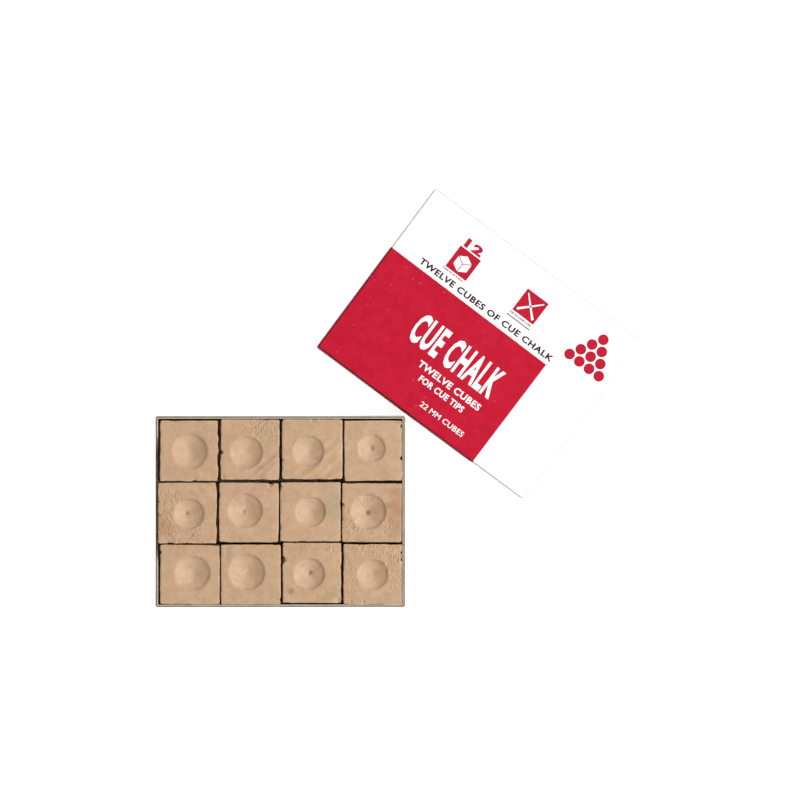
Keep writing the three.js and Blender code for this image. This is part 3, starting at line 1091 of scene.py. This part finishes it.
def lid_print(plan, inks):
    """The lid's generic print: plain words, and a chalk cube, crossed cues and a rack of balls."""
    top = plan.high

    def words(name, text, middle, width, height, slot, weight):
        lettering(f"lid_print_{name}", text, plan, middle, width, height, top, inks[slot], weight)

    def shapes(name, outlines, layer, slot):
        low = top + (layer - 0.2) * INK
        flat_piece(f"lid_print_{name}", outlines, plan, low, top + (layer + 1) * INK, inks[slot])

    words("line", "TWELVE CUBES OF CUE CHALK", (-5.5, 11.5), 61, 2.5, "print_dark", 0.035)
    words("title", "CUE CHALK", (-4.0, -8.6), 38, 12, "print_white", 0.035)
    words("subtitle", "TWELVE CUBES", (0.5, -18.9), 28, 2.7, "print_white", 0.03)
    words("subject", "FOR CUE TIPS", (0.0, -23.2), 20, 2.5, "print_white", 0.03)
    words("size", "22 MM CUBES", (5.8, -30.5), 19.5, 2.1, "print_white", 0.015)

    words("dozen", "12", (-22.9, 27.0), 7.5, 3.6, "print_red", 0.06)
    shapes("cube_square", [square((-22.7, 20.0), 9.4)], 0, "print_red")
    shapes("cube", cube_pictogram((-22.7, 19.6), 3.2), 1, "print_white")
    shapes("cues_square", [square((6.7, 22.3), 9.6)], 0, "print_red")
    cues = [bar((3.1, 18.7), (10.3, 25.9), 0.9, 0.4), bar((10.3, 18.7), (3.1, 25.9), 0.9, 0.4)]
    shapes("cue_one", cues[:1], 1, "print_white")
    shapes("cue_two", cues[1:], 1, "print_white")
    shapes("rack", rack((35.5, 21.0), 2.0), 0, "print_red")
    words("cube_caption", "TWELVE IN A BOX", (-23.3, 14.5), 9.4, 0.75, "print_dark", 0.03)
    words("cues_caption", "FOR WOODEN CUES", (6.3, 16.5), 9.6, 0.8, "print_dark", 0.03)
    shapes("cues_rules", [bar((1.2, 15.1), (11.6, 15.1), 0.35, 0.35)], 0, "print_dark")


# ---------------------------------------------------------------- stage


def make_camera():
    data = bpy.data.cameras.new("camera")
    camera = linked("camera", data)
    back = Vector((-CAMERA_LEFT, 0, CAMERA_HEIGHT))
    camera.location = CAMERA_AIM + back
    camera.rotation_euler = (0, -math.atan2(CAMERA_LEFT, CAMERA_HEIGHT), 0)
    data.sensor_width = SENSOR_WIDTH
    data.lens = SENSOR_WIDTH * back.length / VIEW_WIDTH
    data.clip_start = 0.1
    data.clip_end = 20
    bpy.context.scene.camera = camera


def make_lights():
    """A square soft light low on the right, and a sky that is brightest overhead."""
    data = bpy.data.lights.new("key", "AREA")
    data.shape = "SQUARE"
    data.size = KEY_SIZE
    data.energy = KEY_SHARE * math.pi**2 * KEY_DISTANCE**2 / math.sin(KEY_ELEVATION)
    data.color = KEY_TINT
    key = linked("key", data)
    away = Vector((math.cos(KEY_ELEVATION), 0, math.sin(KEY_ELEVATION)))
    key.location = CAMERA_AIM + away * KEY_DISTANCE
    key.rotation_euler = away.to_track_quat("Z", "Y").to_euler()
    bpy.context.scene.world = make_sky()
    bpy.context.scene.view_settings.view_transform = "Standard"


def make_sky():
    """A white surround whose brightness falls from the zenith to the horizon."""
    world = bpy.data.worlds.new("surround")
    world.use_nodes = True
    tree = world.node_tree
    direction = tree.nodes.new("ShaderNodeTexCoord")
    split = tree.nodes.new("ShaderNodeSeparateXYZ")
    tree.links.new(direction.outputs["Generated"], split.inputs["Vector"])
    value = split.outputs["Z"]
    for operation, number in (("POWER", SKY_POWER), ("MULTIPLY", SKY_SHARE * (SKY_POWER + 2) / 2)):
        made = tree.nodes.new("ShaderNodeMath")
        made.operation = operation
        made.inputs[1].default_value = number
        tree.links.new(value, made.inputs[0])
        value = made.outputs["Value"]
    background = tree.nodes["Background"]
    background.inputs["Color"].default_value = (*SKY_TINT, 1)
    tree.links.new(value, background.inputs["Strength"])
    return world


def make_floor():
    reach, steps = 2.5, 20
    across = np.linspace(-reach, reach, steps + 1)
    grid = np.stack(np.meshgrid(across, across, [0.0], indexing="ij"), -1)[:, :, 0]
    points = grid.reshape(-1, 3)
    floor = new_object("floor", points, grid_quads(np.arange(len(points)).reshape(grid.shape[:2])))
    floor.data.materials.append(floor_material())


def refinished(node, material):
    """Gives a CAD node that keeps its own shape a better material."""
    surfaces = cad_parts[node].data.materials
    surfaces.clear()
    surfaces.append(material)


# ---------------------------------------------------------------- everything together

make_camera()
make_lights()
make_floor()

chalk = chalk_material()
label_print = label_material()
label_raw = cover_paper_material("label_paper_edge", (0.095, 0.032, 0.016), (0.055, 0.017, 0.008))
for cube in CUBES:
    chalk_block(cube, chalk)
    chalk_label(cube, label_print, label_raw)

tray_paper = cover_paper_material("tray_cover_paper", seen_as(232, 227, 216), seen_as(214, 208, 196))
tray_board = board_material(
    "tray_chipboard", seen_as(150, 138, 123), seen_as(120, 109, 96), seen_as(170, 160, 144)
)
tray_lining = cover_paper_material("tray_lining_paper", seen_as(242, 226, 203), seen_as(226, 209, 186))
tray_layer("tray_wrap", tray_paper, 41)
tray_layer("tray_board", tray_board, 42)
tray_layer("tray_liner", tray_lining, 43)

lid_plan = Plan("lid_wrap", on_top=True)
lid_paper(lid_plan, lid_print_material())
lid_print(
    lid_plan,
    {
        "print_red": ink_material("red_ink", seen_as(195, 27, 53), RED_INK),
        "print_dark": ink_material("dark_ink", seen_as(58, 22, 34), DARK_INK),
        "print_white": ink_material("white_ink", (0.78, 0.78, 0.776), WHITE_PAPER),
    },
)

lid_chipboard = board_material("lid_chipboard", (0.42, 0.37, 0.3), (0.27, 0.235, 0.185), (0.5, 0.45, 0.38))
kraft = cover_paper_material("gummed_kraft", (0.47, 0.3, 0.165), (0.36, 0.22, 0.115))
refinished("lid_board", lid_chipboard)
for owner in ("tray", "lid"):
    for corner_number in range(1, 5):
        refinished(f"{owner}_corner_stay_{corner_number}", kraft)
